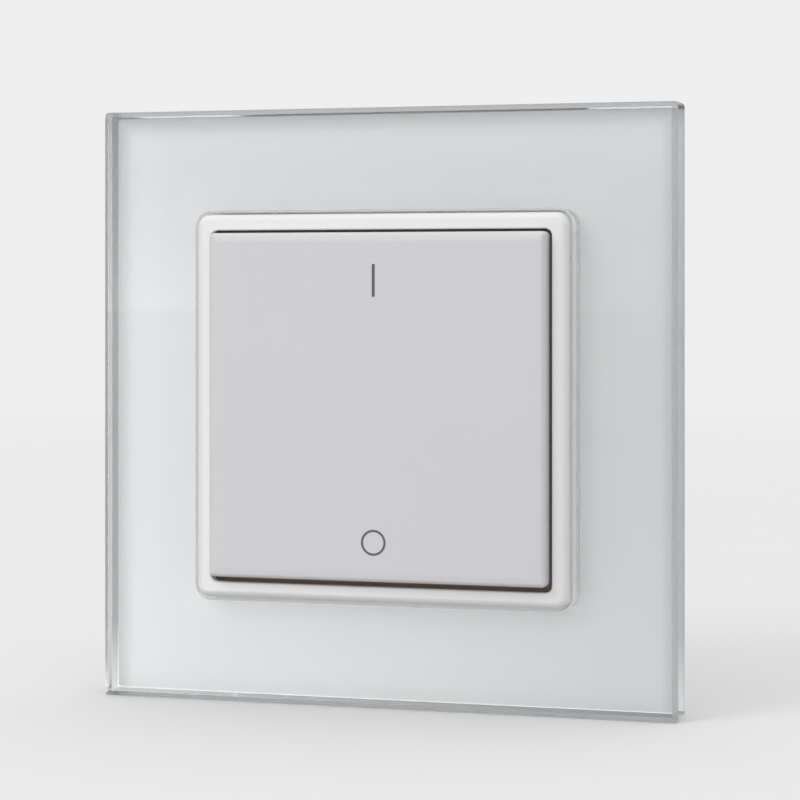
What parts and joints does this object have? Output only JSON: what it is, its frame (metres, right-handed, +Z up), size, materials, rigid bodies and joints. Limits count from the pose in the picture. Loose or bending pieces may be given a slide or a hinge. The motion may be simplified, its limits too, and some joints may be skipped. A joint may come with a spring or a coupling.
{
  "type": "wireless dimmer switch",
  "caption": "Battery radio wall dimmer: tilting rocker key in a glossy bezel, set in a square glass frame on a clip-on wall plate.",
  "frame": {"origin": "centre of the wall plate's screw pattern, on the wall", "axes": "+Z up, +X to the right as seen from the front, -Y towards the front, +Y into the wall"},
  "size_m": [0.086, 0.0133, 0.086],
  "materials": {
    "clear_glass": "polished, ground bevels",
    "white_enamel": "printed, satin",
    "foam_tape": "matt foam",
    "carrier_plastic": "fine matt",
    "plate_plastic": "fine matt",
    "bezel_plastic": "gloss",
    "module_plastic": "fine matt",
    "screw_steel": "zinc plated",
    "board_laminate": "solder mask",
    "gold_plate": "gold plated",
    "silicone": "matt silicone",
    "plunger_plastic": "satin",
    "carbon_rubber": "matt",
    "cradle_plastic": "satin",
    "key_plastic": "fine spark-eroded matt",
    "chip_resin": "moulded resin",
    "nickel": "nickel plated",
    "antenna_ceramic": "fired",
    "capacitor_ceramic": "fired, tinned ends",
    "bulk_resin": "moulded resin",
    "cell_steel": "satin"
  },
  "bodies": {
    "base": {"glass_panel": "clear_glass", "enamel_layer": "white_enamel", "carrier_tape": "foam_tape", "glass_carrier": "carrier_plastic", "wall_plate": "plate_plastic", "adhesive_pads": "foam_tape", "bezel": "bezel_plastic", "module_base": "module_plastic", "module_cover": "module_plastic", "housing_screws": "screw_steel", "circuit_board": "board_laminate", "contact_pads": "gold_plate", "dome_mat": "silicone", "radio_chip": "chip_resin", "crystal": "nickel", "chip_antenna": "antenna_ceramic", "capacitors": "capacitor_ceramic", "bulk_capacitor": "bulk_resin", "coin_cell": "cell_steel", "positive_contact": "nickel", "negative_contact": "nickel"},
    "rocker": {"rocker_key": "key_plastic", "rocker_cradle": "cradle_plastic"},
    "upper_contact": {"upper_plungers": "plunger_plastic", "upper_pills": "carbon_rubber"},
    "lower_contact": {"lower_plungers": "plunger_plastic", "lower_pills": "carbon_rubber"}
  },
  "joints": [
    {"name": "rocker_tilt", "type": "hinge", "parent": "base", "child": "rocker", "pos_m": [0, -0.00964, 0], "axis": [-1, 0, 0], "range_deg": [-1.6, 1.6], "stiffness_Nm_per_rad": 1.2, "deforming": ["dome_mat"]},
    {"name": "upper_travel", "type": "slide", "parent": "base", "child": "upper_contact", "axis": [0, 1, 0], "range_m": [-0.00048, 0.00048]},
    {"name": "lower_travel", "type": "slide", "parent": "base", "child": "lower_contact", "axis": [0, 1, 0], "range_m": [-0.00048, 0.00048]}
  ],
  "couplings": [
    {"joint": "upper_travel", "follows": "rocker_tilt", "m_per_rad": 0.017},
    {"joint": "lower_travel", "follows": "rocker_tilt", "m_per_rad": -0.017}
  ]
}
